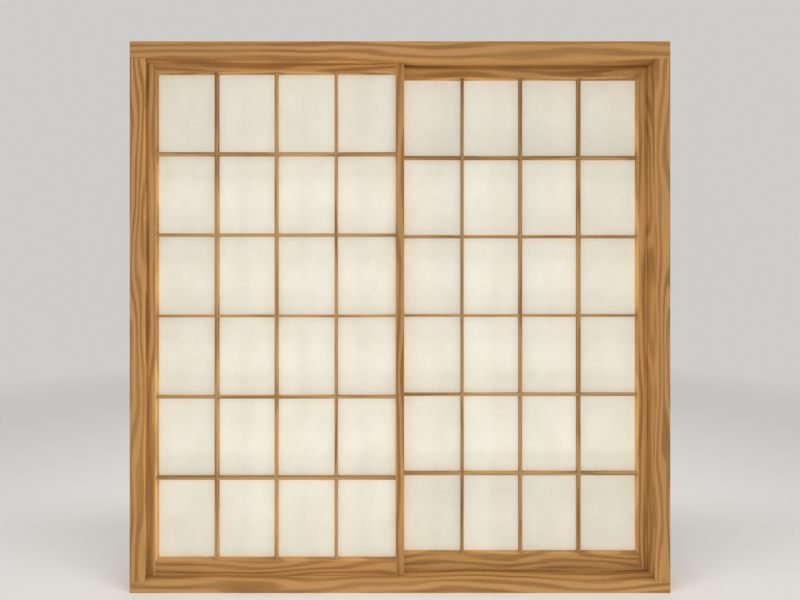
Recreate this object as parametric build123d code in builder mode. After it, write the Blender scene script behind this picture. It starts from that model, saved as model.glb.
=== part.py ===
"""Shoji sliding screen: two paper-covered lattice panels that slide in a wooden frame.

Millimetres, +Z up, X along the screen, the front at -Y. The origin is on the floor under the middle
of the frame. The left panel runs in the front track and the right panel in the rear track.
"""

import os

from build123d import *

# Frame
frame_width = 1820.0
frame_depth = 124.0
doorway_height = 1761.0
head_height = 57.0
sill_height = 38.0
jamb_width = 50.0
jamb_lip = 5.0
jamb_recess = 11.0
fin_height = 4.0
frame_tenon_width = 70.0
frame_tenon_thickness = 19.0
frame_tenon_length = 20.0
arris = 1.0

# Tracks
head_groove_depth = 11.0
sill_groove_depth = 5.0

# Panels
panel_thickness = 28.0
panel_gap = 8.0
stile_width = 28.5
top_rail_face = 27.0
bottom_rail_face = 51.0
rail_tenon_thickness = 9.0
rail_tenon_length = 20.0
rail_tenon_shoulder = 8.0

# Lattice
columns = 4
rows = 6
bar_width = 9.0
bar_depth = 17.5
bar_setback = 3.5
stub_width = 6.0
stub_thickness = 9.0
stub_length = 8.0

# Paper
paper_thickness = 0.5
paper_lap = 5.0
paper_margin = 0.5

# Clearances
joint_gap = 0.1
side_gap = 0.5
track_gap = 1.0
seat_gap = 0.3
lift_room = 6.0

# Places worked out from the sizes above
doorway_top = sill_height + doorway_height
frame_height = doorway_top + head_height
lip_x = frame_width / 2 - jamb_width
recess_x = lip_x + jamb_recess
recess_depth = frame_depth - 2 * jamb_lip
frame_tenon_x = (recess_x + frame_width / 2) / 2

track_offset = (panel_thickness + panel_gap) / 2
groove_width = panel_thickness + 2 * track_gap
fin_width = panel_gap - 2 * track_gap
panel_bottom = sill_height - sill_groove_depth + seat_gap
panel_top = doorway_top + head_groove_depth - lift_room

panel_outer_x = recess_x - side_gap
panel_inner_x = -stile_width / 2
panel_width = panel_outer_x - panel_inner_x
lattice_bottom = sill_height + bottom_rail_face
lattice_top = doorway_top - top_rail_face
lattice_width = panel_width - 2 * stile_width
lattice_height = lattice_top - lattice_bottom
lattice_outer_x = panel_outer_x - stile_width
lattice_inner_x = panel_inner_x + stile_width
lattice_middle_x = (lattice_outer_x + lattice_inner_x) / 2
upright_offsets = [lattice_inner_x + lattice_width * k / columns for k in range(1, columns)]
cross_heights = [lattice_bottom + lattice_height * k / rows for k in range(1, rows)]
paper_width = lattice_width + 2 * (paper_lap - paper_margin)
paper_height = lattice_height + 2 * (paper_lap - paper_margin)

# Depths measured from the middle of a panel, towards the back
panel_back = panel_thickness / 2
lattice_front = bar_setback - panel_thickness / 2
lattice_back = lattice_front + bar_depth
lattice_middle = (lattice_front + lattice_back) / 2
lap_depth = bar_depth / 2


def save(builder, name):
    """Label a finished piece and write it as a STEP file."""
    builder.part.label = name
    export_step(builder.part, f"parts/{name}.step")


def make_track_beam(bottom, height, face, groove_depth, into):
    """Make the head or the sill, a beam with two stopped grooves and a mortise at each end.

    face is the level of the grooved face, and into is +1 where the grooves are cut upwards.
    """
    groove_length = 2 * recess_x
    with BuildPart() as beam:
        with BuildSketch(Plane.XY.offset(bottom)):
            Rectangle(frame_width, frame_depth)
        extrude(amount=height)
        with BuildSketch(Plane.XY.offset(face)):
            with Locations((0, -track_offset), (0, track_offset)):
                Rectangle(groove_length, groove_width)
        extrude(amount=into * groove_depth, mode=Mode.SUBTRACT)
        with BuildSketch(Plane.XY.offset(face)):
            with Locations((-frame_tenon_x, 0), (frame_tenon_x, 0)):
                Rectangle(frame_tenon_thickness + 2 * joint_gap, frame_tenon_width + 2 * joint_gap)
        extrude(amount=into * (frame_tenon_length + joint_gap), mode=Mode.SUBTRACT)
        # Outer corners, in line with those of the jambs
        corners = beam.edges().filter_by(Axis.Z).group_by(Axis.X)
        chamfer(corners[0] + corners[-1], arris)
        # Stopped chamfer along both inner edges of the grooved face, between the jambs
        for side in (-1, 1):
            edge_y = side * frame_depth / 2
            with BuildSketch(Plane.YZ.offset(-lip_x)):
                with BuildLine():
                    Polyline(
                        (edge_y, face),
                        (edge_y - side * arris, face),
                        (edge_y, face + into * arris),
                        close=True,
                    )
                make_face()
            extrude(amount=2 * lip_x, mode=Mode.SUBTRACT)
    return beam


def make_jamb(side):
    """Make a jamb, recessed between two lips, with a fin that parts the two tracks."""
    with BuildPart() as jamb:
        with BuildSketch(Plane.XY.offset(sill_height)):
            with Locations((side * (frame_width - jamb_width) / 2, 0)):
                Rectangle(jamb_width, frame_depth)
            with Locations((side * (lip_x + recess_x) / 2, 0)):
                Rectangle(jamb_recess, recess_depth, mode=Mode.SUBTRACT)
            with Locations((side * (recess_x - fin_height / 2), 0)):
                Rectangle(fin_height, fin_width)
        extrude(amount=doorway_height)
        lips_and_corners = jamb.edges().filter_by(Axis.Z).group_by(Axis.Y)
        chamfer(lips_and_corners[0] + lips_and_corners[-1], arris)
        with BuildSketch(Plane.XY.offset(sill_height - frame_tenon_length)):
            with Locations((side * frame_tenon_x, 0)):
                Rectangle(frame_tenon_thickness, frame_tenon_width)
        extrude(amount=doorway_height + 2 * frame_tenon_length)
    return jamb


def make_stile(inner_face_x, outwards, track_y):
    """Make a stile from its face on the lattice side, growing along X in the direction outwards."""
    mortise_depth = rail_tenon_length + joint_gap
    pocket_depth = stub_length + joint_gap
    with BuildPart() as stile:
        with BuildSketch(Plane.YZ.offset(inner_face_x)):
            with Locations((track_y, (panel_bottom + panel_top) / 2)):
                Rectangle(panel_thickness, panel_top - panel_bottom)
        extrude(amount=outwards * stile_width)
        free_face = stile.faces().filter_by(Axis.X).sort_by(Axis.X)[-1 if outwards > 0 else 0]
        chamfer(free_face.edges().filter_by(Axis.Z), arris)
        # Seat for the paper, along the back of the edge beside the lattice
        with BuildSketch(Plane.YZ.offset(inner_face_x)):
            with Locations((track_y + (lattice_back + panel_back) / 2, (lattice_bottom + lattice_top) / 2)):
                Rectangle(panel_back - lattice_back, lattice_height + 2 * paper_lap)
        extrude(amount=outwards * paper_lap, mode=Mode.SUBTRACT)
        # Mortises for the two rails
        with BuildSketch(Plane.YZ.offset(inner_face_x)):
            for low, high in ((panel_bottom, lattice_bottom), (lattice_top, panel_top)):
                with Locations((track_y, (low + high) / 2)):
                    Rectangle(
                        rail_tenon_thickness + 2 * joint_gap,
                        high - low - 2 * rail_tenon_shoulder + 2 * joint_gap,
                    )
        extrude(amount=outwards * mortise_depth, mode=Mode.SUBTRACT)
        # Pockets for the ends of the cross bars
        with BuildSketch(Plane.YZ.offset(inner_face_x)):
            with Locations([(track_y + lattice_middle, height) for height in cross_heights]):
                Rectangle(stub_thickness + 2 * joint_gap, stub_width + 2 * joint_gap)
        extrude(amount=outwards * pocket_depth, mode=Mode.SUBTRACT)
    return stile


def make_rail(side, track_y, lattice_edge, groove_edge):
    """Make a rail between the stiles, from its edge beside the lattice to its edge in the groove."""
    middle_x = side * lattice_middle_x
    height = abs(groove_edge - lattice_edge)
    into = 1 if groove_edge > lattice_edge else -1
    with BuildPart() as rail:
        with BuildSketch(Plane.YZ.offset(middle_x)):
            with Locations((track_y, (lattice_edge + groove_edge) / 2)):
                Rectangle(panel_thickness, height)
        extrude(amount=lattice_width / 2, both=True)
        with BuildSketch(Plane.YZ.offset(middle_x)):
            with Locations((track_y, (lattice_edge + groove_edge) / 2)):
                Rectangle(rail_tenon_thickness, height - 2 * rail_tenon_shoulder)
        extrude(amount=lattice_width / 2 + rail_tenon_length, both=True)
        # Seat for the paper, along the back of the edge beside the lattice
        with BuildSketch(Plane.XY.offset(lattice_edge)):
            with Locations((middle_x, track_y + (lattice_back + panel_back) / 2)):
                Rectangle(lattice_width, panel_back - lattice_back)
        extrude(amount=into * paper_lap, mode=Mode.SUBTRACT)
        # Pockets for the ends of the upright bars
        with BuildSketch(Plane.XY.offset(lattice_edge)):
            with Locations([(side * offset, track_y + lattice_middle) for offset in upright_offsets]):
                Rectangle(stub_width + 2 * joint_gap, stub_thickness + 2 * joint_gap)
        extrude(amount=into * (stub_length + joint_gap), mode=Mode.SUBTRACT)
    return rail


def make_upright_bar(bar_x, track_y):
    """Make an upright lattice bar, whole in front and notched behind for each cross bar."""
    with BuildPart() as bar:
        with BuildSketch(Plane.XY.offset(lattice_bottom)):
            with Locations((bar_x, track_y + lattice_middle)):
                Rectangle(bar_width, bar_depth)
        extrude(amount=lattice_height)
        with BuildSketch(Plane.XY.offset(lattice_bottom - stub_length)):
            with Locations((bar_x, track_y + lattice_middle)):
                Rectangle(stub_width, stub_thickness)
        extrude(amount=lattice_height + 2 * stub_length)
        notch_y = track_y + lattice_back - lap_depth / 2
        with BuildSketch(Plane.YZ.offset(bar_x)):
            with Locations([(notch_y, height) for height in cross_heights]):
                Rectangle(lap_depth, bar_width + 2 * joint_gap)
        extrude(amount=bar_width / 2, both=True, mode=Mode.SUBTRACT)
    return bar


def make_cross_bar(side, bar_z, track_y):
    """Make a cross lattice bar, whole behind and notched in front for each upright bar."""
    middle_x = side * lattice_middle_x
    with BuildPart() as bar:
        with BuildSketch(Plane.YZ.offset(middle_x)):
            with Locations((track_y + lattice_middle, bar_z)):
                Rectangle(bar_depth, bar_width)
        extrude(amount=lattice_width / 2, both=True)
        with BuildSketch(Plane.YZ.offset(middle_x)):
            with Locations((track_y + lattice_middle, bar_z)):
                Rectangle(stub_thickness, stub_width)
        extrude(amount=lattice_width / 2 + stub_length, both=True)
        notch_y = track_y + lattice_front + lap_depth / 2
        with BuildSketch(Plane.XY.offset(bar_z)):
            with Locations([(side * offset, notch_y) for offset in upright_offsets]):
                Rectangle(bar_width + 2 * joint_gap, lap_depth)
        extrude(amount=bar_width / 2, both=True, mode=Mode.SUBTRACT)
    return bar


def make_paper(side, track_y):
    """Make the paper sheet that lies on the back of the lattice and laps onto its seat."""
    with BuildPart() as paper:
        with BuildSketch(Plane.XZ.offset(-(track_y + lattice_back))):
            with Locations((side * lattice_middle_x, (lattice_bottom + lattice_top) / 2)):
                Rectangle(paper_width, paper_height)
        extrude(amount=-paper_thickness)
    return paper


def save_panel(name, side, track_y):
    """Make and write the thirteen pieces of one sliding panel."""
    save(make_stile(side * lattice_outer_x, side, track_y), f"{name}_outer_stile")
    save(make_stile(side * lattice_inner_x, -side, track_y), f"{name}_meeting_stile")
    save(make_rail(side, track_y, lattice_top, panel_top), f"{name}_top_rail")
    save(make_rail(side, track_y, lattice_bottom, panel_bottom), f"{name}_bottom_rail")
    for number, offset in enumerate(upright_offsets, start=1):
        save(make_upright_bar(side * offset, track_y), f"{name}_upright_bar_{number}")
    for number, height in enumerate(cross_heights, start=1):
        save(make_cross_bar(side, height, track_y), f"{name}_cross_bar_{number}")
    save(make_paper(side, track_y), f"{name}_paper")


os.makedirs("parts", exist_ok=True)
save(make_track_beam(doorway_top, head_height, doorway_top, head_groove_depth, 1), "head")
save(make_track_beam(0, sill_height, sill_height, sill_groove_depth, -1), "sill")
save(make_jamb(-1), "left_jamb")
save(make_jamb(1), "right_jamb")
save_panel("left", -1, -track_offset)
save_panel("right", 1, track_offset)
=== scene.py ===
"""Shoji sliding screen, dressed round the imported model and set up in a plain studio.

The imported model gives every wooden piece. This script gives each of them its own length of timber,
puts a stretched sheet of paper in the place of each plain paper solid, and adds a pale round floor,
soft lights and a camera at the viewing angle of the picture.
"""

from __future__ import annotations

import logging
import math
from dataclasses import dataclass
from enum import Enum

import bpy
from mathutils import Euler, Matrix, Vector, noise

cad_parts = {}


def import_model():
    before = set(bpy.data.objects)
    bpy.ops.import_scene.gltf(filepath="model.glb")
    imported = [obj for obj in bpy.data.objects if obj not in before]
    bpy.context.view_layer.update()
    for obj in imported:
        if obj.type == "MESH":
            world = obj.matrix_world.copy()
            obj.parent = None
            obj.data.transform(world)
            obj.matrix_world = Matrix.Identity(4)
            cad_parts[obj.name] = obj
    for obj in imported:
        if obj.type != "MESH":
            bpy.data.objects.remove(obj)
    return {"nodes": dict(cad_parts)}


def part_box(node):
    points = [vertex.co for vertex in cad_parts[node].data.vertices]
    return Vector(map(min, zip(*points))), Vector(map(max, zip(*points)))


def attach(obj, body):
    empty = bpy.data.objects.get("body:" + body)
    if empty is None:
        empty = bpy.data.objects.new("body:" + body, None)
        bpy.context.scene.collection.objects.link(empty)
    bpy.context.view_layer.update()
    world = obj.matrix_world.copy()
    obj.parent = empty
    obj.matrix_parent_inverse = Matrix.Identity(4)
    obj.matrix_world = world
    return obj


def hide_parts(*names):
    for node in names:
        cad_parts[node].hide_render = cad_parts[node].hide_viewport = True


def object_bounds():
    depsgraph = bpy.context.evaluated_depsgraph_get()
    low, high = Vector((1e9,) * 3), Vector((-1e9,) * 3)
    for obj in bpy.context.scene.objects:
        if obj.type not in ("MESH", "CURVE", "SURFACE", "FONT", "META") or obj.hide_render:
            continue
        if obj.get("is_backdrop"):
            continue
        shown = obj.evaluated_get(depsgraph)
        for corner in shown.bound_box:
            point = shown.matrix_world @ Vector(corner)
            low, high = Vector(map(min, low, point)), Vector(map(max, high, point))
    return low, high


Colour = tuple[float, float, float, float]
ChannelFactors = tuple[float, float, float]
Span = tuple[float, float]
Node = bpy.types.Node
Socket = bpy.types.NodeSocket

MM = 0.001
ACROSS = 0
UP = 2
STRIP_SPREAD = math.radians(120)
# Factors for a piece that has no painted light or shade
NO_PAINTED_LIGHT: ChannelFactors = (1.0, 1.0, 1.0)
# Where most of a noise lies and nearly all of it, and the two ways to map a range onto a mask
NOISE_RANGE: Span = (0.3, 0.7)
WIDE_NOISE_RANGE: Span = (0.25, 0.75)
RISING: Span = (0.0, 1.0)
FALLING: Span = (1.0, 0.0)
log = logging.getLogger("shoji")


def srgb(red: int, green: int, blue: int) -> Colour:
    """Turn a colour as seen on a screen into the linear values that shaders use.

    Args:
        red: Red, from 0 to 255.
        green: Green, from 0 to 255.
        blue: Blue, from 0 to 255.

    Returns:
        The linear colour with an alpha of 1.
    """
    linear = []
    # The curve and its numbers are those of the sRGB standard
    for channel in (red, green, blue):
        value = channel / 255
        linear.append(value / 12.92 if value <= 0.04045 else ((value + 0.055) / 1.055) ** 2.4)
    return (linear[0], linear[1], linear[2], 1.0)


def with_painted_light(colour: Colour, painted_light: ChannelFactors) -> Colour:
    """Multiply the red, green and blue of a linear colour by the factors of a painted light and shade."""
    return (colour[0] * painted_light[0], colour[1] * painted_light[1], colour[2] * painted_light[2], colour[3])


class Run(Enum):
    """The way the grain runs along a piece, as the turn that brings it onto the pattern's Z."""

    UPRIGHT = (0.0, 0.0, 0.0)
    LEVEL = (0.0, math.radians(90), 0.0)


class Figure(Enum):
    """How far the rings of a piece sway, in rings."""

    CALM = 2.9
    LIVELY = 4.8


class Web:
    """A node tree under construction, with short ways to add and join its nodes."""

    def __init__(self, tree: bpy.types.NodeTree) -> None:
        """Start on the tree of a material, a group or the sky."""
        self.tree = tree

    def add(self, kind: str, **settings: object) -> Node:
        """Add a node and set its properties.

        Args:
            kind: The node's type name.
            **settings: Properties of the node.

        Returns:
            The new node.
        """
        node = self.tree.nodes.new(kind)
        for key, value in settings.items():
            setattr(node, key, value)
        return node

    def feed(self, node: Node, **inputs: object) -> None:
        """Join a socket or give a value to each named input, with spaces written as underscores.

        Args:
            node: The node to feed.
            **inputs: Sockets or plain values by input name; a number such as _0 names by place.
        """
        for key, value in inputs.items():
            socket = node.inputs[int(key[1:])] if key[0] == "_" else node.inputs[key.replace("_", " ")]
            if isinstance(value, bpy.types.NodeSocket):
                self.tree.links.new(value, socket)
            else:
                socket.default_value = value

    def maths(self, operation: str, *values: object) -> Socket:
        """Add a Math node.

        Args:
            operation: The operation's name.
            *values: Sockets or numbers for its inputs in order.

        Returns:
            The result.
        """
        node = self.add("ShaderNodeMath", operation=operation)
        self.feed(node, **{f"_{place}": value for place, value in enumerate(values)})
        return node.outputs[0]

    def vector(self, operation: str, *values: object) -> Node:
        """Add a Vector Math node.

        Args:
            operation: The operation's name.
            *values: Sockets or vectors for its inputs in order.

        Returns:
            The node, whose outputs are Vector and Value.
        """
        node = self.add("ShaderNodeVectorMath", operation=operation)
        self.feed(node, **{f"_{place}": value for place, value in enumerate(values)})
        return node

    def stretch(self, where: Socket, scale: tuple[float, float, float]) -> Socket:
        """Scale coordinates by a factor for each axis, where a small one draws a pattern out."""
        return self.vector("MULTIPLY", where, scale).outputs["Vector"]

    def noise(
        self, where: Socket, scale: float, detail: float, roughness: float, distortion: float = 0.0
    ) -> Socket:
        """Add a Noise texture and give its value.

        Args:
            where: The coordinates to read.
            scale: Its scale, in waves for each unit of the coordinates.
            detail: How many finer layers it has.
            roughness: How strong the finer layers are.
            distortion: How far it is warped.

        Returns:
            The noise, about 0.5 on average.
        """
        node = self.add("ShaderNodeTexNoise")
        self.feed(node, Vector=where, Scale=scale, Detail=detail, Roughness=roughness)
        self.feed(node, Distortion=distortion)
        return node.outputs["Fac"]

    def span(self, value: Socket, given: Span, wanted: Span) -> Socket:
        """Map a value smoothly from one range to another and hold it there.

        Args:
            value: The value.
            given: The range that it is mapped from.
            wanted: What it becomes at the two ends of that range.

        Returns:
            The mapped value.
        """
        node = self.add("ShaderNodeMapRange", interpolation_type="SMOOTHSTEP")
        self.feed(node, _0=value, _1=given[0], _2=given[1], _3=wanted[0], _4=wanted[1])
        return node.outputs[0]

    def blend(self, share: Socket, first: object, second: object) -> Socket:
        """Mix two colours.

        Args:
            share: How much of the second there is.
            first: The first colour.
            second: The second colour.

        Returns:
            The mixed colour.
        """
        node = self.add("ShaderNodeMix", data_type="RGBA")
        # The colour sockets share their names with others of the node, so they go by place
        self.feed(node, _0=share, _6=first, _7=second)
        return node.outputs[2]


def open_group(name: str, inputs: dict[str, str], outputs: list[str]) -> tuple[Web, Node, Node]:
    """Start a shader node group with named sockets.

    Args:
        name: The group's name.
        inputs: Socket type of each input by name.
        outputs: Name of each output, which is a number.

    Returns:
        The web to build in, the group's input node and its output node.
    """
    tree = bpy.data.node_groups.new(name, "ShaderNodeTree")
    for key, kind in inputs.items():
        tree.interface.new_socket(key, in_out="INPUT", socket_type=f"NodeSocket{kind}")
    for key in outputs:
        tree.interface.new_socket(key, in_out="OUTPUT", socket_type="NodeSocketFloat")
    web = Web(tree)
    return web, web.add("NodeGroupInput"), web.add("NodeGroupOutput")


def growth_rings() -> bpy.types.NodeTree:
    """Build the group that draws sawn timber: rings round a heart at the origin, grain along Z.

    Returns:
        The group. Ring is 1 on a dark ring, Fibre is the fine streak and Tone the slow change.
    """
    web, given, made = open_group(
        "growth rings", {"Vector": "Vector", "Rings": "Float", "Sway": "Float"}, ["Ring", "Fibre", "Tone"]
    )
    shiver_in_rings = 0.14
    broad_part: Span = (-0.8, 1.0)
    year_strengths: Span = (0.6, 1.0)
    narrow_rings_a_year = 5
    narrow_part: Span = (0.2, 1.0)
    narrow_strength = 0.14
    where = given.outputs["Vector"]
    # Distance from the heart, counted in rings
    radius = web.vector("LENGTH", web.stretch(where, (1.0, 1.0, 0.0))).outputs["Value"]
    count = web.maths("MULTIPLY", radius, given.outputs["Rings"])
    # The rings sway slowly and shiver a little, both drawn out along the grain
    sway = web.noise(web.stretch(where, (1.0, 0.7, 0.15)), scale=15.0, detail=1.5, roughness=0.4)
    count = web.maths("ADD", count, web.maths("MULTIPLY", sway, given.outputs["Sway"]))
    shiver = web.noise(web.stretch(where, (1.0, 1.0, 0.15)), scale=70.0, detail=2.0, roughness=0.5)
    count = web.maths("ADD", count, web.maths("MULTIPLY", shiver, shiver_in_rings))
    # One broad soft dark ring a year, stronger in some years than in others
    wave = web.maths("COSINE", web.maths("MULTIPLY", count, math.tau))
    vigour = web.noise(web.stretch(where, (1.0, 1.0, 0.3)), scale=11.0, detail=1.0, roughness=0.5)
    strength = web.span(vigour, NOISE_RANGE, year_strengths)
    broad = web.maths("MULTIPLY", web.span(wave, broad_part, RISING), strength)
    # Narrow faint rings between the broad ones
    ripple = web.maths("COSINE", web.maths("MULTIPLY", count, narrow_rings_a_year * math.tau))
    narrow = web.span(ripple, narrow_part, (0.0, narrow_strength))
    # Fine fibre, and slow change of tone along the piece
    fibre = web.noise(web.stretch(where, (1.0, 1.0, 0.02)), scale=640.0, detail=3.0, roughness=0.6)
    tone = web.noise(web.stretch(where, (1.0, 1.0, 0.25)), scale=7.0, detail=2.0, roughness=0.5)
    web.feed(made, Ring=web.maths("ADD", broad, narrow), Fibre=fibre, Tone=tone)
    return web.tree


def worn_highlit_edges() -> bpy.types.NodeTree:
    """Build the group that finds the edges of a sawn piece, where hands and cloths rub it and where a
    painted highlight lies.

    Returns:
        The group. Edge is 1 on an edge of the box and falls to 0 within about Width of it.
    """
    web, given, made = open_group(
        "worn highlit edges",
        {"Vector": "Vector", "Centre": "Vector", "Half Size": "Vector", "Width": "Float"},
        ["Edge"],
    )
    width_changes: Span = (0.3, 1.5)
    from_centre = web.vector("SUBTRACT", given.outputs["Vector"], given.outputs["Centre"])
    reach = web.vector("ABSOLUTE", from_centre.outputs["Vector"])
    inset = web.vector("SUBTRACT", given.outputs["Half Size"], reach.outputs["Vector"])
    parts = web.add("ShaderNodeSeparateXYZ")
    web.feed(parts, Vector=inset.outputs["Vector"])
    x, y, z = parts.outputs["X"], parts.outputs["Y"], parts.outputs["Z"]
    # On a face one inset is nothing, so the second smallest is the way to the nearest edge
    lower = web.maths("MINIMUM", x, y)
    upper = web.maths("MAXIMUM", x, y)
    second = web.maths("MAXIMUM", lower, web.maths("MINIMUM", upper, z))
    # The rubbed band, which also carries a painted highlight, is wider in some places than in others
    patchy = web.noise(given.outputs["Vector"], scale=45.0, detail=3.0, roughness=0.6)
    band = web.maths("MULTIPLY", given.outputs["Width"], web.span(patchy, NOISE_RANGE, width_changes))
    web.feed(made, Edge=web.span(web.maths("DIVIDE", second, band), RISING, FALLING))
    return web.tree


def washi_cloud() -> bpy.types.NodeTree:
    """Build the group that draws handmade paper held up to the light.

    Returns:
        The group. Cloud is the slow change of density, Strand is 1 along a long fibre and Tooth is
        the fine roughness of the surface.
    """
    web, given, made = open_group("paper cloud", {"Vector": "Vector"}, ["Cloud", "Strand", "Tooth"])
    fine_share = 0.25
    cloud_range: Span = (0.38, 0.62)
    strand_width = 0.008
    strand_patches: Span = (0.52, 0.62)
    where = given.outputs["Vector"]
    # Slow clouds, taller than wide, with finer ones in them
    slow = web.noise(web.stretch(where, (1.0, 1.0, 0.55)), scale=11.0, detail=3.0, roughness=0.5)
    fine = web.noise(where, scale=34.0, detail=4.0, roughness=0.6)
    cloud = web.maths(
        "ADD", web.maths("MULTIPLY", slow, 1.0 - fine_share), web.maths("MULTIPLY", fine, fine_share)
    )
    # Long fibres are the thin contour lines of a strongly warped field, shown only here and there
    warped = web.noise(where, scale=46.0, detail=2.0, roughness=0.6, distortion=1.4)
    away = web.maths("ABSOLUTE", web.maths("SUBTRACT", warped, 0.5))
    line = web.span(away, (0.0, strand_width), FALLING)
    patchy = web.noise(where, scale=21.0, detail=2.0, roughness=0.5)
    shown = web.span(patchy, strand_patches, RISING)
    tooth = web.noise(where, scale=1500.0, detail=3.0, roughness=0.6)
    web.feed(
        made,
        Cloud=web.span(cloud, cloud_range, RISING),
        Strand=web.maths("MULTIPLY", line, shown),
        Tooth=tooth,
    )
    return web.tree


@dataclass(frozen=True)
class Timber:
    """Planed and oiled softwood: one pattern, and for each piece its own length of it."""

    rings: bpy.types.NodeTree
    edges: bpy.types.NodeTree
    early_wood: Colour = srgb(188, 142, 86)
    late_wood: Colour = srgb(151, 104, 55)
    # Lighter colour of rubbed edges, which also serves as a painted highlight along them
    rubbed_highlit_wood: Colour = srgb(194, 151, 97)
    rings_per_metre: float = 39.0
    heart_distance: float = 115 * MM
    heart_distance_change: float = 0.3
    heart_distance_turn: float = 2.4
    heart_depth: float = 60 * MM
    heart_depth_turn: float = 1.7
    length_between_pieces: float = 3.1
    fibre_shades: Span = (0.93, 1.06)
    slow_shades: Span = (0.95, 1.05)
    edge_width: float = 1.6 * MM
    edge_strength: float = 0.35
    fibre_relief: float = 0.6
    relief_depth: float = 0.25 * MM
    relief_strength: float = 0.25
    roughness: Span = (0.55, 0.70)
    specular: float = 0.16

    def heart(self, number: int) -> Vector:
        """Place a piece in its log.

        Args:
            number: The piece's number.

        Returns:
            Where the piece's middle lies from the heart of the log, with its length along Z.
        """
        change = 1.0 + self.heart_distance_change * math.sin(self.heart_distance_turn * number)
        depth = self.heart_depth * math.cos(self.heart_depth_turn * number)
        side = 1.0 if number % 2 else -1.0
        return Vector((side * self.heart_distance * change, depth, self.length_between_pieces * number))

    def dress(self, piece: bpy.types.Object, run: Run, number: int, figure: Figure, painted_light: ChannelFactors) -> None:
        """Give a wooden piece its own length of timber.

        Args:
            piece: The CAD node's object.
            run: The way its grain runs.
            number: Its number, which picks the length of timber.
            figure: How lively its grain is.
            painted_light: Painted light and shade: factors that lighten a piece lying in shade and darken
                one that the lamps light more.
        """
        low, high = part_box(piece.name)
        middle = (low + high) / 2
        turn = Euler(run.value)
        material = bpy.data.materials.new(f"timber_{piece.name}")
        material.use_nodes = True
        web = Web(material.node_tree)
        shader = material.node_tree.nodes["Principled BSDF"]
        place = web.add("ShaderNodeTexCoord").outputs["Object"]
        turned = web.add("ShaderNodeMapping")
        shift = self.heart(number) - turn.to_matrix() @ middle
        web.feed(turned, Vector=place, Location=shift, Rotation=turn)
        grain = web.add("ShaderNodeGroup", node_tree=self.rings)
        web.feed(grain, Vector=turned.outputs["Vector"], Rings=self.rings_per_metre, Sway=figure.value)
        edge = web.add("ShaderNodeGroup", node_tree=self.edges)
        web.feed(edge, Vector=place, Centre=middle, Half_Size=(high - low) / 2, Width=self.edge_width)
        # Rings, then the streaks of the fibre and the slow change, then the rubbed edges, whose lighter
        # colour is also a painted highlight
        # Both colours take the piece's painted light and shade, which lightens a piece in shade and
        # darkens one that the lamps light more
        early, late = with_painted_light(self.early_wood, painted_light), with_painted_light(self.late_wood, painted_light)
        ringed = web.blend(grain.outputs["Ring"], early, late)
        streak = web.span(grain.outputs["Fibre"], NOISE_RANGE, self.fibre_shades)
        slow = web.span(grain.outputs["Tone"], NOISE_RANGE, self.slow_shades)
        shaded = web.vector("SCALE", ringed)
        web.feed(shaded, Scale=web.maths("MULTIPLY", streak, slow))
        worn_and_highlit = web.maths("MULTIPLY", edge.outputs["Edge"], self.edge_strength)
        finished = web.blend(worn_and_highlit, shaded.outputs["Vector"], with_painted_light(self.rubbed_highlit_wood, painted_light))
        # The dark rings lie a little lower than the wood between them
        fine = web.maths("MULTIPLY", grain.outputs["Fibre"], self.fibre_relief)
        relief = web.maths("SUBTRACT", fine, grain.outputs["Ring"])
        bump = web.add("ShaderNodeBump")
        web.feed(bump, Strength=self.relief_strength, Distance=self.relief_depth, Height=relief)
        roughness = web.span(grain.outputs["Fibre"], WIDE_NOISE_RANGE, self.roughness)
        web.feed(shader, Base_Color=finished, Roughness=roughness, Normal=bump.outputs["Normal"])
        shader.inputs["Specular IOR Level"].default_value = self.specular
        piece.data.materials.clear()
        piece.data.materials.append(material)
        log.info("%s: timber, grain %s", piece.name, run.name.lower())


@dataclass(frozen=True)
class WashiPaper:
    """Bright unbleached paper with cloudy density and scattered long fibres."""

    cloud: bpy.types.NodeTree
    thin_tone: Colour = srgb(240, 235, 217)
    thick_tone: Colour = srgb(233, 229, 210)
    strand_tone: Colour = srgb(244, 240, 225)
    strand_strength: float = 0.6
    relief_depth: float = 0.08 * MM
    relief_strength: float = 0.3
    roughness: float = 0.82
    specular: float = 0.25
    glow: float = 0.6
    glow_depth: float = 1.0 * MM
    glow_reach: ChannelFactors = (1.0, 0.95, 0.85)

    def material(self, name: str) -> bpy.types.Material:
        """Make the paper's material.

        Args:
            name: The material's name.

        Returns:
            The material.
        """
        material = bpy.data.materials.new(name)
        material.use_nodes = True
        web = Web(material.node_tree)
        shader = material.node_tree.nodes["Principled BSDF"]
        place = web.add("ShaderNodeTexCoord").outputs["Object"]
        sheet = web.add("ShaderNodeGroup", node_tree=self.cloud)
        web.feed(sheet, Vector=place)
        clouded = web.blend(sheet.outputs["Cloud"], self.thick_tone, self.thin_tone)
        strands = web.maths("MULTIPLY", sheet.outputs["Strand"], self.strand_strength)
        colour = web.blend(strands, clouded, self.strand_tone)
        relief = web.maths("ADD", sheet.outputs["Tooth"], sheet.outputs["Strand"])
        bump = web.add("ShaderNodeBump")
        web.feed(bump, Strength=self.relief_strength, Distance=self.relief_depth, Height=relief)
        web.feed(shader, Base_Color=colour, Normal=bump.outputs["Normal"])
        shader.inputs["Roughness"].default_value = self.roughness
        shader.inputs["Subsurface Weight"].default_value = self.glow
        shader.inputs["Subsurface Radius"].default_value = self.glow_reach
        shader.inputs["Subsurface Scale"].default_value = self.glow_depth
        shader.inputs["Specular IOR Level"].default_value = self.specular
        return material


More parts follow.
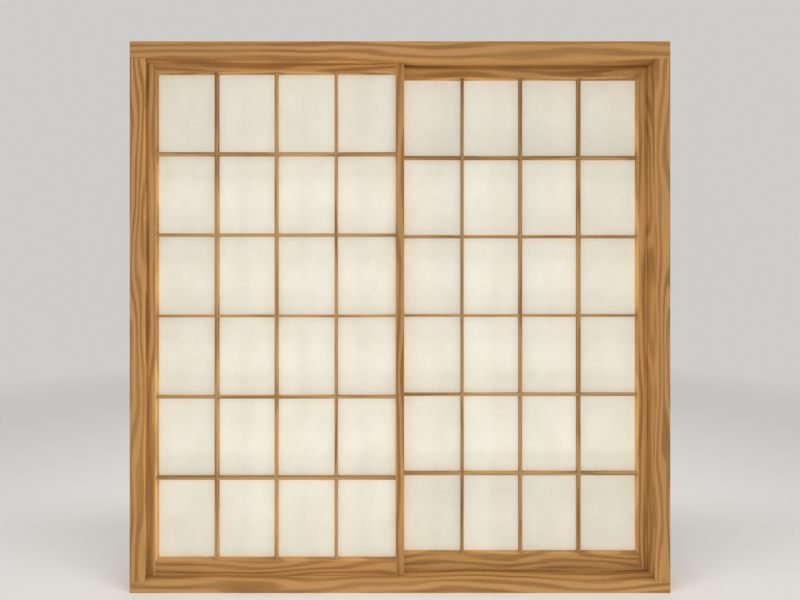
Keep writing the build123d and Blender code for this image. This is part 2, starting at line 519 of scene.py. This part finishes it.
@dataclass
class OuterFrame:
    """The head, the sill and the two jambs, which hold the panels."""

    # Painted shade: the frame's pieces are darkened, as the lamps light their front faces more than the
    # recessed panels
    head_painted_shade: ChannelFactors = (0.90, 0.885, 0.855)
    sill_painted_shade: ChannelFactors = (0.90, 0.92, 0.915)
    left_jamb_painted_shade: ChannelFactors = (0.88, 0.865, 0.83)
    right_jamb_painted_shade: ChannelFactors = (0.84, 0.82, 0.785)

    def dress(self, nodes: dict[str, bpy.types.Object], timber: Timber) -> None:
        """Give each piece of the frame its timber.

        Args:
            nodes: The CAD nodes by name.
            timber: The finish.
        """
        boards = (
            ("head", Run.LEVEL, Figure.CALM, self.head_painted_shade),
            ("sill", Run.LEVEL, Figure.CALM, self.sill_painted_shade),
            ("left_jamb", Run.UPRIGHT, Figure.LIVELY, self.left_jamb_painted_shade),
            ("right_jamb", Run.UPRIGHT, Figure.LIVELY, self.right_jamb_painted_shade),
        )
        for number, (part, run, figure, painted_light) in enumerate(boards, start=1):
            timber.dress(nodes[part], run, number, figure, painted_light)


@dataclass
class SlidingPanel:
    """One sliding panel: stiles, rails, lattice and paper."""

    side: str
    first_number: int
    # Painted light and shade on the panel's pieces, which evens out how bright and how warm the lamps
    # make them
    painted_lights: dict[str, ChannelFactors]
    upright_bar_painted_light: ChannelFactors = (0.84, 0.885, 0.96)
    cross_bar_painted_light: ChannelFactors = (0.93, 1.02, 1.14)
    uprights: int = 3
    crosses: int = 5
    paper_cell: float = 12.0 * MM
    paper_thickness: float = 0.2 * MM
    paper_belly: float = 0.18 * MM
    paper_ripple: float = 0.12 * MM
    ripple_scale: float = 14.0
    smooth_below: float = math.radians(40)

    @property
    def body(self) -> str:
        """Name of the body that the panel's pieces ride on."""
        return f"{self.side}_shoji"

    @property
    def upright_bars(self) -> list[str]:
        """Names of the upright bars within the panel."""
        return [f"upright_bar_{place}" for place in range(1, self.uprights + 1)]

    @property
    def cross_bars(self) -> list[str]:
        """Names of the cross bars within the panel."""
        return [f"cross_bar_{place}" for place in range(1, self.crosses + 1)]

    def named(self, part: str) -> str:
        """Give the full node name of a part of this panel."""
        return f"{self.side}_{part}"

    def painted_light_of(self, part: str) -> ChannelFactors:
        """Find the painted light and shade of a part. Bars that run one way share it.

        Args:
            part: The part's name within the panel.

        Returns:
            The painted light and shade.
        """
        if part in self.upright_bars:
            return self.upright_bar_painted_light
        if part in self.cross_bars:
            return self.cross_bar_painted_light
        return self.painted_lights.get(part, NO_PAINTED_LIGHT)

    def dress(self, nodes: dict[str, bpy.types.Object], timber: Timber) -> None:
        """Give each wooden piece of the panel its timber.

        Args:
            nodes: The CAD nodes by name.
            timber: The finish.
        """
        upright = ["outer_stile", "meeting_stile", *self.upright_bars]
        runs = [(part, Run.UPRIGHT, Figure.CALM) for part in upright]
        runs += [(part, Run.LEVEL, Figure.CALM) for part in self.cross_bars]
        runs += [(part, Run.LEVEL, Figure.LIVELY) for part in ("top_rail", "bottom_rail")]
        for number, (part, run, figure) in enumerate(runs, start=self.first_number):
            timber.dress(nodes[self.named(part)], run, number, figure, self.painted_light_of(part))

    def panes(self, axis: int) -> list[Span]:
        """Find the free spans of paper between the wooden pieces along one axis.

        Args:
            axis: ACROSS, between stiles and upright bars, or UP, between rails and cross bars.

        Returns:
            The low and high end of each span.
        """
        if axis == ACROSS:
            parts = ["outer_stile", "meeting_stile", *self.upright_bars]
        else:
            parts = ["bottom_rail", "top_rail", *self.cross_bars]
        boxes = sorted((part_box(self.named(part)) for part in parts), key=lambda box: box[0][axis])
        return [(boxes[k][1][axis], boxes[k + 1][0][axis]) for k in range(len(boxes) - 1)]

    def stations(self, axis: int, low: float, high: float) -> list[float]:
        """List where the rows of the paper's grid lie along one axis.

        Args:
            axis: ACROSS or UP.
            low: The sheet's low edge.
            high: Its high edge.

        Returns:
            The two edges, and between them the ends and the inner rows of each free span.
        """
        places = [low]
        for start, end in self.panes(axis):
            steps = round((end - start) / self.paper_cell)
            places += [start + (end - start) * step / steps for step in range(steps + 1)]
        return [*places, high]

    def swell(self, x: float, z: float, columns: list[Span], rows: list[Span]) -> float:
        """Work out how far the paper stands behind the bars at a point.

        Args:
            x: The point's X.
            z: The point's Z.
            columns: The free spans along X.
            rows: The free spans along Z.

        Returns:
            The distance, which is 0 where the paper is glued to wood.
        """
        for left, right in columns:
            for low, high in rows:
                if left < x < right and low < z < high:
                    u = (x - left) / (right - left)
                    v = (z - low) / (high - low)
                    free = math.sqrt(math.sin(math.pi * u) * math.sin(math.pi * v))
                    wave = noise.noise(Vector((x, self.first_number, z)) * self.ripple_scale)
                    return free * (self.paper_belly + self.paper_ripple * wave)
        return 0.0

    def stretch_paper(self, paper: WashiPaper) -> bpy.types.Object:
        """Make the paper sheet that is glued to the back of the lattice.

        Args:
            paper: The finish.

        Returns:
            The sheet.
        """
        node = self.named("paper")
        low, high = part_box(node)
        across, along = self.stations(ACROSS, low.x, high.x), self.stations(UP, low.z, high.z)
        bpy.ops.object.select_all(action="DESELECT")
        bpy.ops.mesh.primitive_grid_add(
            x_subdivisions=len(across) - 1, y_subdivisions=len(along) - 1, size=1.0
        )
        sheet = bpy.context.object
        sheet.name = f"{node}_sheet"
        # The flat square grid is stood up, and its rows go to their stations
        columns, rows = self.panes(ACROSS), self.panes(UP)
        for vertex in sheet.data.vertices:
            x = across[round((vertex.co.x + 0.5) * (len(across) - 1))]
            z = along[round((vertex.co.y + 0.5) * (len(along) - 1))]
            vertex.co = (x, low.y + self.swell(x, z, columns, rows), z)
        solid = sheet.modifiers.new("thickness", "SOLIDIFY")
        solid.thickness = self.paper_thickness
        solid.offset = -1.0
        bpy.ops.object.modifier_apply(modifier=solid.name)
        bpy.ops.object.shade_smooth_by_angle(angle=self.smooth_below)
        sheet.data.materials.append(paper.material(f"paper_{self.side}"))
        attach(sheet, self.body)
        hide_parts(node)
        return sheet


def front_panel() -> SlidingPanel:
    """Describe the panel that runs in the front track.

    Returns:
        The left panel.
    """
    # Painted light on the outer stile, which lies in the shade of the jamb, and painted shade on the
    # meeting stile
    painted_lights = {
        "outer_stile": (1.17, 1.28, 1.38),
        "meeting_stile": (0.88, 0.86, 0.85),
    }
    return SlidingPanel(side="left", first_number=5, painted_lights=painted_lights)


def rear_panel() -> SlidingPanel:
    """Describe the panel that runs in the rear track.

    Returns:
        The right panel.
    """
    # Painted light on the outer stile and the rails, which lie deep in the shade of the frame
    painted_lights = {
        "outer_stile": (1.15, 1.26, 1.35),
        "bottom_rail": (1.09, 1.15, 1.21),
        "top_rail": (1.12, 1.17, 1.20),
    }
    return SlidingPanel(side="right", first_number=25, painted_lights=painted_lights)


@dataclass(frozen=True)
class Lamp:
    """A soft flat lamp, with lengths in metres, power in watts and spread in radians.

    One that spares the floor neither lights it nor is shaded by it.
    """

    name: str
    place: tuple[float, float, float]
    size: tuple[float, float]
    power: float
    spread: float = math.pi
    spares_floor: bool = False


@dataclass
class Studio:
    """The round floor, the lights, the sky and the camera."""

    focal_length_px: float = 391.0
    image_width_px: float = 800.0
    sensor_width_mm: float = 36.0
    camera_height: float = 0.9857
    camera_distance: float = 1.315
    floor_radius: float = 6.5
    fade_radius: float = 2.6
    floor_sides: int = 96
    floor_colour: Colour = (0.88, 0.87, 0.85, 1.0)
    floor_roughness: float = 0.9
    sky_colour: Colour = (1.0, 0.99, 0.97, 1.0)
    sky_light: float = 0.485
    sky_seen: float = 0.62
    lamps: tuple[Lamp, ...] = (
        Lamp("front", (0.0, -9.0, 1.0), (3.0, 3.0), 145.0, spares_floor=True),
        Lamp("above", (0.0, -4.6, 5.2), (4.0, 2.4), 20.0),
        Lamp("left", (-4.5, -0.55, 1.0), (0.5, 3.0), 53.0, STRIP_SPREAD, spares_floor=True),
        Lamp("right", (4.5, -0.55, 1.0), (0.5, 3.0), 76.0, STRIP_SPREAD, spares_floor=True),
        Lamp("top", (0.0, -0.75, 5.5), (3.0, 0.6), 51.0, STRIP_SPREAD),
        Lamp("under", (0.0, -0.9, -3.6), (3.0, 0.6), 43.0, STRIP_SPREAD, spares_floor=True),
        Lamp("behind", (0.8, 5.6, 2.2), (2.4, 2.4), 120.0, spares_floor=True),
    )

    def lay_floor(self) -> bpy.types.Object:
        """Make the pale round floor, which fades into the backdrop's colour at its rim.

        Returns:
            The floor.
        """
        bpy.ops.object.select_all(action="DESELECT")
        bpy.ops.mesh.primitive_circle_add(
            vertices=self.floor_sides, radius=self.floor_radius, fill_type="NGON"
        )
        floor = bpy.context.object
        floor.name = "studio_floor"
        material = bpy.data.materials.new("pale_floor")
        material.use_nodes = True
        web = Web(material.node_tree)
        shader = material.node_tree.nodes["Principled BSDF"]
        shader.inputs["Base Color"].default_value = self.floor_colour
        shader.inputs["Roughness"].default_value = self.floor_roughness
        reach = web.vector("LENGTH", web.add("ShaderNodeTexCoord").outputs["Object"])
        rim = web.span(reach.outputs["Value"], (self.fade_radius, self.floor_radius), FALLING)
        web.feed(shader, Alpha=rim)
        floor.data.materials.append(material)
        floor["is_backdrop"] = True
        return floor

    def hang(self, lamp: Lamp, aim: Vector, floor: bpy.types.Object) -> None:
        """Hang a soft flat lamp.

        Args:
            lamp: The lamp.
            aim: The point that it faces.
            floor: The floor, which the lamp may be told to spare.
        """
        area = bpy.data.lights.new(lamp.name, "AREA")
        area.shape = "RECTANGLE"
        area.size, area.size_y = lamp.size
        area.energy = lamp.power
        area.spread = lamp.spread
        light = bpy.data.objects.new(lamp.name, area)
        light.location = lamp.place
        light.rotation_euler = (aim - light.location).to_track_quat("-Z", "Y").to_euler()
        light.visible_camera = False
        if lamp.spares_floor:
            unlit = bpy.data.collections.new(f"{lamp.name}_unlit")
            unlit.objects.link(floor)
            unlit.collection_objects[0].light_linking.link_state = "EXCLUDE"
            light.light_linking.receiver_collection = unlit
            light.light_linking.blocker_collection = unlit
        bpy.context.scene.collection.objects.link(light)

    def light(self, low: Vector, high: Vector, floor: bpy.types.Object) -> None:
        """Set the sky and hang the lights round the object.

        Args:
            low: The object's lowest corner.
            high: The object's highest corner.
            floor: The floor.
        """
        world = bpy.data.worlds.new("studio")
        world.use_nodes = True
        web = Web(world.node_tree)
        # The backdrop that the camera sees is set apart from the light that the sky gives
        lit = world.node_tree.nodes["Background"]
        seen = web.add("ShaderNodeBackground")
        web.feed(lit, Color=self.sky_colour, Strength=self.sky_light)
        web.feed(seen, Color=self.sky_colour, Strength=self.sky_seen)
        direct = web.add("ShaderNodeLightPath").outputs["Is Camera Ray"]
        either = web.add("ShaderNodeMixShader")
        web.feed(either, _0=direct, _1=lit.outputs["Background"], _2=seen.outputs["Background"])
        web.feed(world.node_tree.nodes["World Output"], Surface=either.outputs["Shader"])
        bpy.context.scene.world = world
        bpy.context.scene.view_settings.view_transform = "Standard"
        aim = (low + high) / 2
        for lamp in self.lamps:
            self.hang(lamp, aim, floor)

    def set_camera(self, front: float) -> None:
        """Set the camera square to the screen, as in the picture.

        Args:
            front: The Y of the frame's front face.
        """
        lens = bpy.data.cameras.new("camera")
        lens.sensor_width = self.sensor_width_mm
        lens.lens = self.focal_length_px * self.sensor_width_mm / self.image_width_px
        camera = bpy.data.objects.new("camera", lens)
        camera.location = (0.0, front - self.camera_distance, self.camera_height)
        camera.rotation_euler = (math.radians(90), 0.0, 0.0)
        bpy.context.scene.collection.objects.link(camera)
        bpy.context.scene.camera = camera


def main() -> None:
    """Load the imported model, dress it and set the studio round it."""
    logging.basicConfig(level=logging.INFO, format="%(name)s %(message)s")
    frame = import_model()
    low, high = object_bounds()
    studio = Studio()
    studio.set_camera(low.y)
    timber = Timber(growth_rings(), worn_highlit_edges())
    paper = WashiPaper(washi_cloud())
    OuterFrame().dress(frame["nodes"], timber)
    for panel in (front_panel(), rear_panel()):
        panel.dress(frame["nodes"], timber)
        sheet = panel.stretch_paper(paper)
        log.info("%s: paper, stretched on %s", sheet.name, panel.body)
    studio.light(low, high, studio.lay_floor())


if __name__ == "__main__":
    main()
